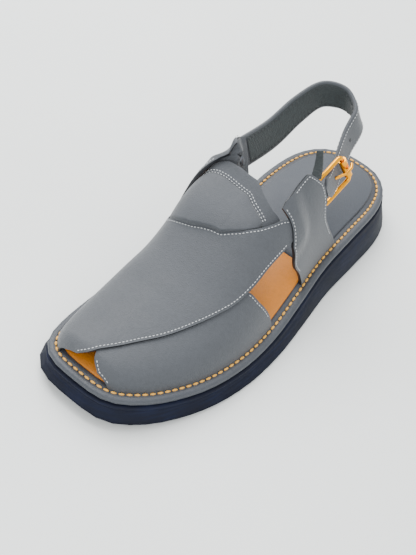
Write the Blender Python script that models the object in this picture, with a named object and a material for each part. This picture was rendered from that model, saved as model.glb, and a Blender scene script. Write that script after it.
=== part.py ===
"""Peshawari chappal for the left foot, built as a shoemaker would: sole, footbed, upper, tongue, strap, buckle.

Metres, +Z up. The toe points along -Y and the outer side of the foot is at +X. A station is a share of the
footbed's length, from 0 at the heel to 1 at the toe. A turn runs over the last, from 0 at the outer feather
edge to 1 at the inner one.
"""

import math

import bmesh
import bpy
import numpy as np
from mathutils import Vector

# Driving dimensions
FOOTBED_LENGTH = 0.294
BALL_WIDTH = 0.106
HEEL_HEIGHT = 0.029
BALL_HEIGHT = 0.017
TOE_HEIGHT = 0.024
TOE_SPRING = 0.0048
INSTEP_RISE = 0.048
MEDIAL_LEAN = 0.165
TOE_ROUND_START = 0.938
TOE_ROUND_END = 0.9675
GAP = 0.0003

# Outsole
LIP_HEIGHT = 0.0026
LIP_REACH = 0.0011
LIP_GROOVE = 0.0005
HEEL_FLARE = 0.0064
TOE_FLARE = 0.0046
SOLE_BEVEL = 0.0013
TOE_RECESS = 0.0018
TREAD_DEPTH = 0.0015
TREAD_WIDTH = 0.0030
TREAD_MARGIN = 0.013

# Footbed, insole and heel sock
MIDSOLE_THICKNESS = 0.0050
RIM_ROUNDING = 0.0013
CHANNEL_INSET = 0.0046
CHANNEL_WIDTH = 0.0014
CHANNEL_DEPTH = 0.0007
FEATHER_INSET = 0.0084
FEATHER_END = 0.963
INSOLE_THICKNESS = 0.0016
INSOLE_MARGIN = 0.0011
SOCK_STATION = 0.405

# Upper
LEATHER = 0.0022
OVERLAY_LIFT = 0.0013
QUARTER_LIFT = 0.0026
MEDIAL_QUARTER_LIFT = 0.0014
TONGUE_THICKNESS = 0.0020
TONGUE_DROP = 0.0009
PAD_EDGE = 0.0012
PAD_RISE = 0.0062
PAD_CREST = 0.72
PAD_FULLNESS = 0.8
SIDE_SKIVE = 0.0002

# Heel strap
STRAP_HEIGHT = 0.0985
STRAP_WIDTH = 0.0215
STRAP_THICKNESS = 0.0034
STRAP_TIP_THICKNESS = 0.0024
THINNING = (0.6, 0.8)
POINTING = (0.955, 1.0)
POINT_NARROWING = 0.55

# Buckle
BUCKLE_WIRE = 0.0016
BUCKLE_LENGTH = 0.0240
ROLLER_WALL = 0.0009
PRONG_WIRE = 0.0010
PRONG_TIP = 0.0062
BUCKLE_CLEARANCE = 0.0012
TAB_THICKNESS = 0.0016
TAB_REACH = 0.072
TAB_TURNS = (0.158, 0.232)
TAB_SKIVE = 0.0002
ROLLER_END_GAP = 0.0004
SLOT_ROOM = 0.0001

# How the prong lies over the roller, in roller radii
PRONG_AHEAD = 1.7
PRONG_OVER = 1.12
PRONG_DROP = 0.3
RIVET_RADIUS = 0.0034
RIVET_HEIGHT = 0.0012
RIVET_OVAL = 0.62
RIVET_SIDES = 20

# Edge of the footbed seen from above: across is a share of the ball's width, along a station.
OUTLINE = (
    # across, along
    (-0.020, 0.000),
    (0.165, 0.010),
    (0.302, 0.055),
    (0.375, 0.130),
    (0.405, 0.245),
    (0.430, 0.365),
    (0.487, 0.484),
    (0.533, 0.590),
    (0.543, 0.697),
    (0.497, 0.803),
    (0.388, 0.900),
    (0.258, 0.963),
    (0.125, 0.991),
    (-0.080, 0.996),
    (-0.255, 0.990),
    (-0.360, 0.962),
    (-0.415, 0.908),
    (-0.446, 0.820),
    (-0.453, 0.718),
    (-0.424, 0.600),
    (-0.378, 0.465),
    (-0.362, 0.345),
    (-0.384, 0.225),
    (-0.372, 0.120),
    (-0.300, 0.050),
    (-0.170, 0.010),
)

# Crest of the last: rise above the footbed as a share of INSTEP_RISE, fullness of its two sides, and how far its
# inner side leans out beyond MEDIAL_LEAN, as a share of the rise.
LAST = (
    # station, rise, outer fullness, inner fullness, inner lean
    (0.200, 2.33, 2.4, 3.0, 0.000),
    (0.290, 2.21, 2.4, 3.0, 0.000),
    (0.340, 2.04, 2.4, 3.1, 0.000),
    (0.374, 1.83, 2.4, 3.3, 0.000),
    (0.408, 1.62, 2.4, 3.9, 0.012),
    (0.442, 1.45, 2.4, 4.8, 0.050),
    (0.476, 1.31, 2.4, 5.5, 0.065),
    (0.510, 1.185, 2.4, 5.2, 0.065),
    (0.561, 1.025, 2.4, 4.3, 0.060),
    (0.612, 0.850, 2.4, 3.5, 0.060),
    (0.680, 0.658, 2.4, 3.0, 0.055),
    (0.748, 0.520, 2.4, 2.8, 0.045),
    (0.816, 0.417, 2.4, 2.6, 0.025),
    (0.884, 0.333, 2.3, 2.4, 0.010),
    (0.952, 0.270, 2.2, 2.2, 0.000),
    (1.000, 0.235, 2.2, 2.2, 0.000),
)

# Panels of the upper on the last: for each turn, the stations of the panel's back and front edges.
VAMP = (
    # turn, back, front
    (0.190, 0.442, 0.466),
    (0.215, 0.447, 0.517),
    (0.235, 0.452, 0.565),
    (0.246, 0.457, 0.612),
    (0.264, 0.466, 0.660),
    (0.292, 0.480, 0.704),
    (0.332, 0.506, 0.764),
    (0.368, 0.528, 0.820),
    (0.408, 0.547, 0.869),
    (0.440, 0.561, 0.914),
    (0.468, 0.571, 0.944),
    (0.515, 0.588, 0.955),
    (0.580, 0.599, 0.960),
    (0.660, 0.602, 0.961),
    (0.740, 0.600, 0.962),
    (0.808, 0.593, 0.962),
    (0.850, 0.572, 0.962),
    (0.900, 0.545, 0.962),
    (1.000, 0.510, 0.962),
)
SIDE_PANEL = (
    # turn, back, front
    (0.000, 0.585, 0.962),
    (0.070, 0.595, 0.962),
    (0.135, 0.607, 0.962),
    (0.173, 0.614, 0.962),
    (0.218, 0.619, 0.962),
    (0.245, 0.624, 0.962),
    (0.292, 0.667, 0.962),
    (0.340, 0.721, 0.960),
    (0.388, 0.776, 0.957),
    (0.430, 0.827, 0.952),
    (0.470, 0.871, 0.940),
)
OUTER_QUARTER = (
    # turn, back, front
    (0.000, 0.299, 0.449),
    (0.050, 0.332, 0.466),
    (0.088, 0.345, 0.480),
    (0.130, 0.343, 0.485),
    (0.178, 0.350, 0.486),
    (0.202, 0.359, 0.479),
    (0.238, 0.372, 0.471),
    (0.270, 0.384, 0.469),
    (0.300, 0.418, 0.470),
    (0.328, 0.456, 0.471),
)
INNER_QUARTER = (
    # turn, back, front
    (1.000, 0.408, 0.545),
    (0.930, 0.406, 0.550),
    (0.885, 0.404, 0.552),
    (0.850, 0.402, 0.545),
    (0.800, 0.400, 0.522),
    (0.760, 0.401, 0.508),
    (0.730, 0.402, 0.497),
    (0.705, 0.404, 0.488),
    (0.680, 0.409, 0.479),
    (0.655, 0.416, 0.472),
    (0.625, 0.425, 0.464),
    (0.595, 0.435, 0.456),
)
TONGUE = (
    # turn, back, front
    (0.275, 0.490, 0.600),
    (0.300, 0.481, 0.630),
    (0.362, 0.484, 0.650),
    (0.430, 0.479, 0.655),
    (0.480, 0.469, 0.655),
    (0.520, 0.463, 0.655),
    (0.575, 0.463, 0.655),
    (0.630, 0.468, 0.655),
    (0.700, 0.475, 0.650),
    (0.750, 0.484, 0.640),
    (0.790, 0.505, 0.625),
    (0.830, 0.540, 0.610),
    (0.870, 0.548, 0.606),
    (0.900, 0.556, 0.600),
)
TONGUE_PAD = (
    # turn, back, front
    (0.368, 0.517, 0.524),
    (0.402, 0.513, 0.541),
    (0.462, 0.506, 0.565),
    (0.510, 0.495, 0.583),
    (0.545, 0.493, 0.589),
    (0.590, 0.493, 0.592),
    (0.630, 0.494, 0.583),
    (0.670, 0.496, 0.572),
    (0.710, 0.499, 0.560),
    (0.745, 0.504, 0.545),
    (0.765, 0.513, 0.530),
)

# Middle line of the heel strap, with its lean in degrees and its width as a share of STRAP_WIDTH.
STRAP = (
    # across, along, height, lean, width
    (-0.290, 0.416, 0.832, -25.0, 1.00),
    (-0.280, 0.303, 0.838, -25.0, 0.98),
    (-0.266, 0.218, 0.924, -20.0, 0.96),
    (-0.222, 0.156, 0.994, -10.0, 0.93),
    (-0.125, 0.126, 1.000, 1.0, 0.90),
    (-0.028, 0.125, 0.985, 14.0, 0.87),
    (0.073, 0.146, 0.956, 28.0, 0.84),
    (0.118, 0.202, 0.870, 27.0, 0.82),
    (0.180, 0.261, 0.797, 25.0, 0.79),
    (0.222, 0.300, 0.770, 24.0, 0.78),
    (0.250, 0.338, 0.757, 24.0, 0.74),
)
ROLLER_PLACE = 0.80
HINGE_PLACE = 0.965
HINGE_STATION = 0.338
FLAP_PLACE = 0.02
FLAP_STATIONS = (0.436, 0.466)
FLAP_TURNS = (0.875, 0.98)
RIVET_SPOT = (0.787, 0.417)

TOEWARD = 1.35
RING_POINTS = 39


def smooth(low, high, value):
    """Goes from 0 to 1 between two values, level at both ends."""
    t = np.clip((np.asarray(value, float) - low) / (high - low), 0.0, 1.0)
    return t * t * (3.0 - 2.0 * t)


def column(table, place, key, value):
    """Reads one column of a table at any value of its key column, with monotone cubic steps between rows."""
    rows = np.array(sorted(table, key=lambda row: row[key]), float)
    x = rows[:, key]
    y = rows[:, place]
    step = np.diff(x)
    slope = np.diff(y) / step
    tangent = np.zeros(len(x))
    for i in range(1, len(x) - 1):
        if slope[i - 1] * slope[i] > 0:
            tangent[i] = 2.0 * slope[i - 1] * slope[i] / (slope[i - 1] + slope[i])
    tangent[0] = slope[0]
    tangent[-1] = slope[-1]
    value = np.clip(value, x[0], x[-1])
    i = np.clip(np.searchsorted(x, value) - 1, 0, len(step) - 1)
    t = (value - x[i]) / step[i]
    return (
        (2 * t**3 - 3 * t**2 + 1) * y[i]
        + (t**3 - 2 * t**2 + t) * step[i] * tangent[i]
        + (3 * t**2 - 2 * t**3) * y[i + 1]
        + (t**3 - t**2) * step[i] * tangent[i + 1]
    )


def through(points, per_span, closed=False):
    """A smooth curve through the points, with a number of samples between each two."""
    points = np.asarray(points, float)
    if not closed:
        points = np.vstack([2 * points[0] - points[1], points, 2 * points[-1] - points[-2]])
    count = len(points)
    spans = range(count) if closed else range(1, count - 2)
    found = []
    for i in spans:
        a, b, c, d = (points[(i + k - 1) % count] for k in range(4))
        for t in np.arange(per_span) / per_span:
            bend = (2 * a - 5 * b + 4 * c - d) * t * t + (3 * b - a - 3 * c + d) * t**3
            found.append(0.5 * (2 * b + (c - a) * t + bend))
    if not closed:
        found.append(points[-2])
    return np.array(found)


def along(points, count):
    """The polyline read again at evenly spaced lengths."""
    length = np.concatenate([[0.0], np.cumsum(np.linalg.norm(np.diff(points, axis=0), axis=1))])
    even = np.linspace(0.0, length[-1], count)
    return np.stack([np.interp(even, length, points[:, k]) for k in range(points.shape[1])], axis=1)


def footprint():
    """Edge of the footbed in metres, from the heel round the outer side to the toe and back, with outward normals."""
    dense = through(np.array(OUTLINE) * (BALL_WIDTH, FOOTBED_LENGTH), 24, closed=True)
    dense = np.roll(dense, -int(np.argmin(dense[:, 1])), axis=0)
    toe = int(np.argmax(dense[:, 1]))
    outer = along(dense[: toe + 1], RING_POINTS)
    inner = along(np.vstack([dense[toe:], dense[:1]]), RING_POINTS)
    ring = np.vstack([outer[:-1], inner[:-1]])
    tangent = np.roll(ring, -1, axis=0) - np.roll(ring, 1, axis=0)
    normal = np.stack([tangent[:, 1], -tangent[:, 0]], axis=1)
    return ring, normal / np.linalg.norm(normal, axis=1)[:, None]


def flare(share):
    """How far the sole's band stands out at the ground, by the share of the way from heel to toe."""
    return HEEL_FLARE + (TOE_FLARE - HEEL_FLARE) * smooth(0.1, 0.9, share)


EDGE, EDGE_NORMAL = footprint()
WIDEST = EDGE + EDGE_NORMAL * flare(EDGE[:, 1:] / FOOTBED_LENGTH)
MIDDLE_X, MIDDLE_S = 0.5 * (WIDEST.max(axis=0) + WIDEST.min(axis=0))


def place(x, s, z):
    """World points from the distance across, the distance from the heel and the height."""
    x, s, z = np.broadcast_arrays(x, s, z)
    return np.stack([x - MIDDLE_X, MIDDLE_S - s, z], axis=-1)


def spring(s):
    """Height of the ground side of the sole."""
    return TOE_SPRING * np.clip((s / FOOTBED_LENGTH - 0.697) / 0.303, 0.0, 1.3) ** 2


def bed(s):
    """Height of the footbed's top."""
    share = s / FOOTBED_LENGTH
    toe = np.clip((share - 0.697) / 0.303, 0.0, 1.3) ** 2
    return HEEL_HEIGHT + (BALL_HEIGHT - HEEL_HEIGHT) * smooth(0.187, 0.68, share) + (TOE_HEIGHT - BALL_HEIGHT) * toe


def edge_ring(outset, height):
    """The footbed's edge moved outwards, at heights worked out from the distance from the heel."""
    moved = EDGE + EDGE_NORMAL * np.reshape(outset, (-1, 1))
    return place(moved[:, 0], moved[:, 1], height(moved[:, 1]))


def feather(station):
    """Where the last meets the footbed on the outer and inner side."""
    inset = EDGE - EDGE_NORMAL * FEATHER_INSET
    s = np.minimum(station, FEATHER_END) * FOOTBED_LENGTH
    outer = inset[:RING_POINTS]
    inner = np.vstack([inset[RING_POINTS - 1 :], inset[:1]])[::-1]
    sides = [np.interp(s, np.maximum.accumulate(side[:, 1]), side[:, 0]) for side in (outer, inner)]
    return sides[0], sides[1]


def last(turn, station):
    """Surface of the last, which the upper follows."""
    turn, station = np.broadcast_arrays(np.asarray(turn, float), np.asarray(station, float))
    outer, inner = feather(station)
    middle = 0.5 * (outer + inner)
    half = 0.5 * (outer - inner)
    toe = np.clip((station - TOE_ROUND_START) / (TOE_ROUND_END - TOE_ROUND_START), 0.0, 0.98)
    rise = INSTEP_RISE * column(LAST, 1, 0, station) * np.sqrt(1.0 - toe**2)
    full = np.where(turn < 0.5, column(LAST, 2, 0, station), column(LAST, 3, 0, station))
    cosine = np.cos(np.pi * turn)
    up = rise * np.abs(np.sin(np.pi * turn)) ** (2.0 / full)
    lean = MEDIAL_LEAN + column(LAST, 4, 0, station) * smooth(0.5, 0.8, turn)
    across = middle + half * np.sign(cosine) * np.abs(cosine) ** (2.0 / full) - lean * up
    s = station * FOOTBED_LENGTH
    return place(across, s, bed(s) + GAP + up)


def lifted(turn, station, lift):
    """Surface of the last moved outwards by a thickness."""
    step = 0.002
    turn, station = np.broadcast_arrays(np.asarray(turn, float), np.asarray(station, float))
    low = np.clip(turn - step, 0.0, 1.0)
    high = np.clip(turn + step, 0.0, 1.0)
    over = last(high, station) - last(low, station)
    forward = last(turn, station + step) - last(turn, station - step)
    normal = np.cross(over, forward)
    normal /= np.linalg.norm(normal, axis=-1)[..., None]
    rim = (turn < 0.004) | (turn > 0.996)
    normal[..., 2] = np.where(rim, 0.0, normal[..., 2])
    return last(turn, station) + normal * np.asarray(lift)[..., None]


def material(name, colour, roughness, metallic=0.0):
    """A plain surface in the part's colour."""
    made = bpy.data.materials.new(name)
    made.use_nodes = True
    shader = made.node_tree.nodes["Principled BSDF"]
    shader.inputs["Base Color"].default_value = (*colour, 1.0)
    shader.inputs["Roughness"].default_value = roughness
    shader.inputs["Metallic"].default_value = metallic
    return made


def new_object(name, points, faces, surface, collection):
    """An object from points and faces, with its normals outwards."""
    mesh = bpy.data.meshes.new(name)
    mesh.from_pydata([tuple(point) for point in points], [], faces)
    work = bmesh.new()
    work.from_mesh(mesh)
    bmesh.ops.recalc_face_normals(work, faces=work.faces)
    work.to_mesh(mesh)
    work.free()
    made = bpy.data.objects.new(name, mesh)
    collection.objects.link(made)
    if surface:
        mesh.materials.append(surface)
        mesh.shade_smooth()
        mesh.set_sharp_from_angle(angle=math.radians(40))
    return made


def sleeve(rings, closed_end=False):
    """Faces between rings of equal length, one ring after another, and back to the first if closed."""
    count = len(rings[0])
    points = np.vstack(rings)
    pairs = [(k, k + 1) for k in range(len(rings) - 1)]
    if closed_end:
        pairs.append((len(rings) - 1, 0))
    faces = []
    for a, b in pairs:
        for i in range(count):
            j = (i + 1) % count
            faces.append((a * count + i, a * count + j, b * count + j, b * count + i))
    return points, faces


def rungs(start):
    """Faces across a footprint ring, from its outer side to its inner side."""
    total = 2 * RING_POINTS - 2
    faces = [(start, start + 1, start + total - 1)]
    for i in range(1, RING_POINTS - 2):
        faces.append((start + i, start + i + 1, start + total - i - 1, start + total - i))
    faces.append((start + RING_POINTS - 2, start + RING_POINTS - 1, start + RING_POINTS))
    return faces


def slab(name, rings, surface, collection):
    """A layer of the sole: rings from the bottom to the top, closed across both ends."""
    points, faces = sleeve(rings)
    faces += rungs(0) + rungs((len(rings) - 1) * len(rings[0]))
    return new_object(name, points, faces, surface, collection)


def join_solids(target, others):
    """Joins the other objects to the first with Boolean unions."""
    for other in others:
        joint = target.modifiers.new("Join " + other.name, "BOOLEAN")
        joint.operation = "UNION"
        joint.solver = "EXACT"
        joint.object = other


def cut_with(target, cutter):
    """Takes the cutter's shape out of the target."""
    cut = target.modifiers.new("Cut " + cutter.name, "BOOLEAN")
    cut.operation = "DIFFERENCE"
    cut.solver = "EXACT"
    cut.object = cutter


def helper(made):
    """Marks an object as a cutter or a piece that is joined to another."""
    made.hide_render = True
    made.display_type = "WIRE"
    return made


def build_outsole(parts, cutters, surface):
    """Moulded rubber sole with a rounded top lip, a band that flares to the ground and a bevelled bottom edge."""
    share = EDGE[:, 1] / FOOTBED_LENGTH
    reach = flare(share)
    front = smooth(0.86, 0.93, share) * smooth(0.22, 0.0, EDGE[:, 0] / BALL_WIDTH)
    recess = TOE_RECESS * front

    def top(drop):
        return lambda s: bed(s) - MIDSOLE_THICKNESS - GAP - drop

    def low(rise):
        return lambda s: spring(s) + rise

    rings = [
        edge_ring(reach - SOLE_BEVEL, low(recess)),
        edge_ring(reach, low(SOLE_BEVEL + recess)),
        edge_ring(0.35 * reach - LIP_GROOVE, top(LIP_HEIGHT + 0.004)),
        edge_ring(-LIP_GROOVE, top(LIP_HEIGHT + 0.0006)),
        edge_ring(0.6 * LIP_REACH, top(LIP_HEIGHT)),
        edge_ring(LIP_REACH, top(0.5 * LIP_HEIGHT)),
        edge_ring(0.6 * LIP_REACH, top(0.12 * LIP_HEIGHT)),
        edge_ring(-LIP_REACH, top(0.0)),
    ]
    sole = slab("outsole", rings, surface, parts)
    bars = []
    faces = []
    stations = [0.06 + 0.045 * k for k in range(5)] + [0.56 + 0.045 * k for k in range(8)]
    for station in stations:
        s = station * FOOTBED_LENGTH
        outer, inner = feather(station)
        near = inner - FEATHER_INSET + TREAD_MARGIN
        far = outer + FEATHER_INSET - TREAD_MARGIN
        for z in (spring(s) - TREAD_DEPTH, spring(s) + TREAD_DEPTH):
            for x, ahead in ((near, -0.5), (far, -0.5), (far, 0.5), (near, 0.5)):
                bars.append(place(x, s + ahead * TREAD_WIDTH, z))
        n = len(bars) - 8
        faces += [(n, n + 1, n + 2, n + 3), (n + 4, n + 5, n + 6, n + 7)]
        faces += [(n + k, n + (k + 1) % 4, n + 4 + (k + 1) % 4, n + 4 + k) for k in range(4)]
    cut_with(sole, helper(new_object("tread_cutter", bars, faces, None, cutters)))


def build_midsole(parts, surface):
    """Leather-wrapped footbed layer with a rounded rim and the channel that its stitches lie in."""

    def top(drop):
        return lambda s: bed(s) - drop

    wall = 0.35 * CHANNEL_WIDTH
    rings = [
        edge_ring(-RIM_ROUNDING, top(MIDSOLE_THICKNESS)),
        edge_ring(-0.3 * RIM_ROUNDING, top(MIDSOLE_THICKNESS - 0.7 * RIM_ROUNDING)),
        edge_ring(0.0, top(0.5 * MIDSOLE_THICKNESS)),
        edge_ring(-0.3 * RIM_ROUNDING, top(0.7 * RIM_ROUNDING)),
        edge_ring(-RIM_ROUNDING, top(0.1 * RIM_ROUNDING)),
        edge_ring(-CHANNEL_INSET, top(0.0)),
        edge_ring(-CHANNEL_INSET - wall, top(CHANNEL_DEPTH)),
        edge_ring(-CHANNEL_INSET - CHANNEL_WIDTH + wall, top(CHANNEL_DEPTH)),
        edge_ring(-CHANNEL_INSET - CHANNEL_WIDTH, top(0.0)),
        edge_ring(-FEATHER_INSET - GAP, top(0.0)),
    ]
    slab("midsole", rings, surface, parts)


def build_inner_sole(name, ahead, parts, surface):
    """Thin leather on the footbed inside the upper: the part ahead of the sock's seam, or the part behind it."""
    inset = FEATHER_INSET + INSOLE_MARGIN
    rings = [
        edge_ring(-inset, lambda s: bed(s) + GAP),
        edge_ring(-inset, lambda s: bed(s) + GAP + 0.7 * INSOLE_THICKNESS),
        edge_ring(-inset - 0.5 * INSOLE_THICKNESS, lambda s: bed(s) + GAP + INSOLE_THICKNESS),
    ]
    sole = slab(name, rings, surface, parts)
    side = 1.0 if ahead else -1.0
    seam = place(0.0, SOCK_STATION * FOOTBED_LENGTH + side * 0.5 * GAP, 0.0)
    work = bmesh.new()
    work.from_mesh(sole.data)
    everything = work.verts[:] + work.edges[:] + work.faces[:]
    halves = bmesh.ops.bisect_plane(
        work, geom=everything, plane_co=seam, plane_no=(0.0, side, 0.0), clear_outer=True
    )
    rim = [item for item in halves["geom_cut"] if isinstance(item, bmesh.types.BMEdge)]
    bmesh.ops.edgeloop_fill(work, edges=rim)
    bmesh.ops.recalc_face_normals(work, faces=work.faces)
    work.to_mesh(sole.data)
    work.free()


def grid_solid(name, outside, inside, surface, collection):
    """A closed shell between two grids of points of the same size."""
    rows, columns = outside.shape[:2]
    count = rows * columns
    points = np.vstack([outside.reshape(-1, 3), inside.reshape(-1, 3)])
    faces = []
    for i in range(rows - 1):
        for j in range(columns - 1):
            a = i * columns + j
            quad = (a, a + 1, a + columns + 1, a + columns)
            faces += [quad, tuple(count + k for k in reversed(quad))]
    rim = [j for j in range(columns)]
    rim += [i * columns + columns - 1 for i in range(1, rows)]
    rim += [(rows - 1) * columns + j for j in range(columns - 2, -1, -1)]
    rim += [i * columns for i in range(rows - 2, 0, -1)]
    for a, b in zip(rim, rim[1:] + rim[:1]):
        faces.append((a, b, count + b, count + a))
    return new_object(name, points, faces, surface, collection)


def panel_grid(table, rows, columns):
    """Turns and stations over a panel, with rows spread by the length of its side edges."""
    keys = sorted(row[0] for row in table)
    dense = np.linspace(keys[0], keys[-1], 200)
    edges = [last(dense, column(table, k, 0, dense)) for k in (1, 2)]
    steps = sum(np.linalg.norm(np.diff(edge, axis=0), axis=1) for edge in edges)
    length = np.concatenate([[0.0], np.cumsum(steps)])
    turn = np.interp(np.linspace(0.0, length[-1], rows), length, dense)
    back = column(table, 1, 0, turn)
    front = column(table, 2, 0, turn)
    share = 1.0 - np.linspace(1.0, 0.0, columns) ** TOEWARD
    station = back[:, None] + (front - back)[:, None] * share
    return np.repeat(turn[:, None], columns, axis=1), station


def panel(name, table, lift, thickness, surface, collection, rows, columns):
    """A leather panel that follows the last, lifted off it by what lies underneath."""
    turn, station = panel_grid(table, rows, columns)
    under = lift(turn, station)
    outside = lifted(turn, station, under + thickness)
    inside = lifted(turn, station, under)
    return grid_solid(name, outside, inside, surface, collection)


def flap_lift(turn, station):
    """Lift of the inner quarter, whose rear flap is drawn in until it lies against the strap's inner face."""
    centre, _, _, outward, _ = strap_frame(FLAP_PLACE)
    wall = last(turn, station)
    facing = (lifted(turn, station, np.ones_like(turn)) - wall) @ outward
    proud = (wall - centre) @ outward + 0.5 * STRAP_THICKNESS + 3.0 * GAP
    drawn_in = -proud / np.maximum(facing, 0.5) - LEATHER
    share = (1.0 - smooth(*FLAP_STATIONS, station)) * (1.0 - smooth(*FLAP_TURNS, turn))
    over_tongue = MEDIAL_QUARTER_LIFT * smooth(0.46, 0.505, station)
    return share * np.minimum(drawn_in, 0.0) + over_tongue


def build_upper(parts, cutters, surface):
    """The upper: vamp, side panel and both quarters, joined where they cross."""

    def vamp_lift(turn, station):
        return OVERLAY_LIFT * (1.0 - smooth(0.48, 0.62, turn))

    def side_lift(turn, station):
        return np.zeros_like(turn)

    def outer_lift(turn, station):
        return QUARTER_LIFT * smooth(0.405, 0.445, station) * smooth(0.09, 0.17, turn)

    vamp = panel("upper", VAMP, vamp_lift, LEATHER, surface, parts, rows=28, columns=20)
    side = panel("side_panel", SIDE_PANEL, side_lift, LEATHER - SIDE_SKIVE, surface, cutters, rows=15, columns=15)
    outer = panel("outer_quarter", OUTER_QUARTER, outer_lift, LEATHER, surface, cutters, rows=16, columns=11)
    inner = panel("inner_quarter", INNER_QUARTER, flap_lift, LEATHER, surface, cutters, rows=16, columns=12)
    join_solids(vamp, [helper(made) for made in (side, outer, inner)])


def build_tongue(parts, surface, pad_surface):
    """The tongue under the throat, and the moulded pad sewn on it."""
    under = -TONGUE_DROP - TONGUE_THICKNESS

    def lift(turn, station):
        return np.full_like(turn, under)

    panel("tongue", TONGUE, lift, TONGUE_THICKNESS, surface, parts, rows=16, columns=12)
    turn, station = panel_grid(TONGUE_PAD, 14, 12)
    rows = np.linspace(0.0, 1.0, turn.shape[0])[:, None]
    columns = np.linspace(0.0, 1.0, turn.shape[1])[None, :]
    swell = np.sqrt(np.clip(4.0 * rows * (1.0 - rows), 0.0, 1.0)) * np.sin(np.pi * PAD_CREST * columns) ** PAD_FULLNESS
    base = np.full_like(turn, GAP - TONGUE_DROP)
    outside = lifted(turn, station, base + PAD_EDGE + PAD_RISE * swell)
    grid_solid("tongue_pad", outside, lifted(turn, station, base), pad_surface, parts)


def strap_line(per_span=5):
    """Centre, lean and width of the heel strap at even spans."""
    sizes = (BALL_WIDTH, FOOTBED_LENGTH, STRAP_HEIGHT, math.radians(1.0), STRAP_WIDTH)
    rows = through(np.array(STRAP) * sizes, per_span)
    centre = place(rows[:, 0], rows[:, 1], rows[:, 2])
    tangent = np.gradient(centre, axis=0)
    tangent /= np.linalg.norm(tangent, axis=1)[:, None]
    upright = np.array([0.0, 0.0, 1.0]) - tangent * tangent[:, 2:3]
    upright /= np.linalg.norm(upright, axis=1)[:, None]
    aside = np.cross(tangent, upright)
    lean = rows[:, 3:4]
    across = upright * np.cos(lean) + aside * np.sin(lean)
    outward = np.cross(across, tangent)
    return centre, tangent, across, outward, rows[:, 4]


def strap_frame(share):
    """Centre, tangent, direction across, outward direction and width at a share of the strap's line."""
    values = strap_line()
    where = share * (len(values[0]) - 1)
    found = []
    for value in values:
        value = value.reshape(len(value), -1)
        found.append(np.array([np.interp(where, range(len(value)), value[:, k]) for k in range(value.shape[1])]))
    return found


def build_strap(parts, surface):
    """The sling round the heel: a flat band with rounded edges and a pointed end."""
    centre, tangent, across, outward, width = strap_line()
    count = len(centre)
    share = np.linspace(0.0, 1.0, count)
    thickness = STRAP_THICKNESS + (STRAP_TIP_THICKNESS - STRAP_THICKNESS) * smooth(*THINNING, share)
    narrow = 1.0 - POINT_NARROWING * smooth(*POINTING, share)
    profile = ((-0.5, -0.22), (-0.46, -0.5), (0.46, -0.5), (0.5, -0.22), (0.5, 0.22), (0.46, 0.5), (-0.46, 0.5), (-0.5, 0.22))
    rings = []
    for i in range(count):
        reach = width[i] * narrow[i]
        rings.append([centre[i] + across[i] * (a * reach) + outward[i] * (b * thickness[i]) for a, b in profile])
    points, faces = sleeve(rings)
    ends = len(profile)
    faces += [tuple(range(ends)), tuple(range((count - 1) * ends, count * ends))]
    return new_object("heel_strap", points, faces, surface, parts)


def wire(name, points, radius, surface, collection, closed=False, sides=2):
    """A round wire along points, as a mesh with welded ends."""
    curve = bpy.data.curves.new(name, "CURVE")
    curve.dimensions = "3D"
    curve.bevel_depth = radius
    curve.bevel_resolution = sides
    curve.use_fill_caps = not closed
    line = curve.splines.new("POLY")
    line.points.add(len(points) - 1)
    for point, value in zip(line.points, points):
        point.co = (*value, 1.0)
    line.use_cyclic_u = closed
    drawn = bpy.data.objects.new(name + "_line", curve)
    collection.objects.link(drawn)
    bpy.context.view_layer.update()
    mesh = bpy.data.meshes.new_from_object(drawn.evaluated_get(bpy.context.evaluated_depsgraph_get()))
    work = bmesh.new()
    work.from_mesh(mesh)
    bmesh.ops.remove_doubles(work, verts=work.verts, dist=0.00001)
    bmesh.ops.recalc_face_normals(work, faces=work.faces)
    work.to_mesh(mesh)
    work.free()
    mesh.materials.clear()
    if surface:
        mesh.materials.append(surface)
        mesh.shade_smooth()
    made = bpy.data.objects.new(name, mesh)
    made.matrix_world = drawn.matrix_world
    collection.objects.link(made)
    bpy.data.objects.remove(drawn)
    return made


def tube(name, start, end, outer, inner, surface, collection, sides=20):
    """A short pipe between two points."""
    axis = (end - start) / np.linalg.norm(end - start)
    side = np.cross(axis, (0.0, 0.0, 1.0))
    side /= np.linalg.norm(side)
    other = np.cross(axis, side)
    angles = 2.0 * np.pi * np.arange(sides) / sides
    circle = np.cos(angles)[:, None] * side + np.sin(angles)[:, None] * other
    rings = [start + circle * outer, end + circle * outer, end + circle * inner, start + circle * inner]
    points, faces = sleeve(rings, closed_end=True)
    return new_object(name, points, faces, surface, collection)


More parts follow.
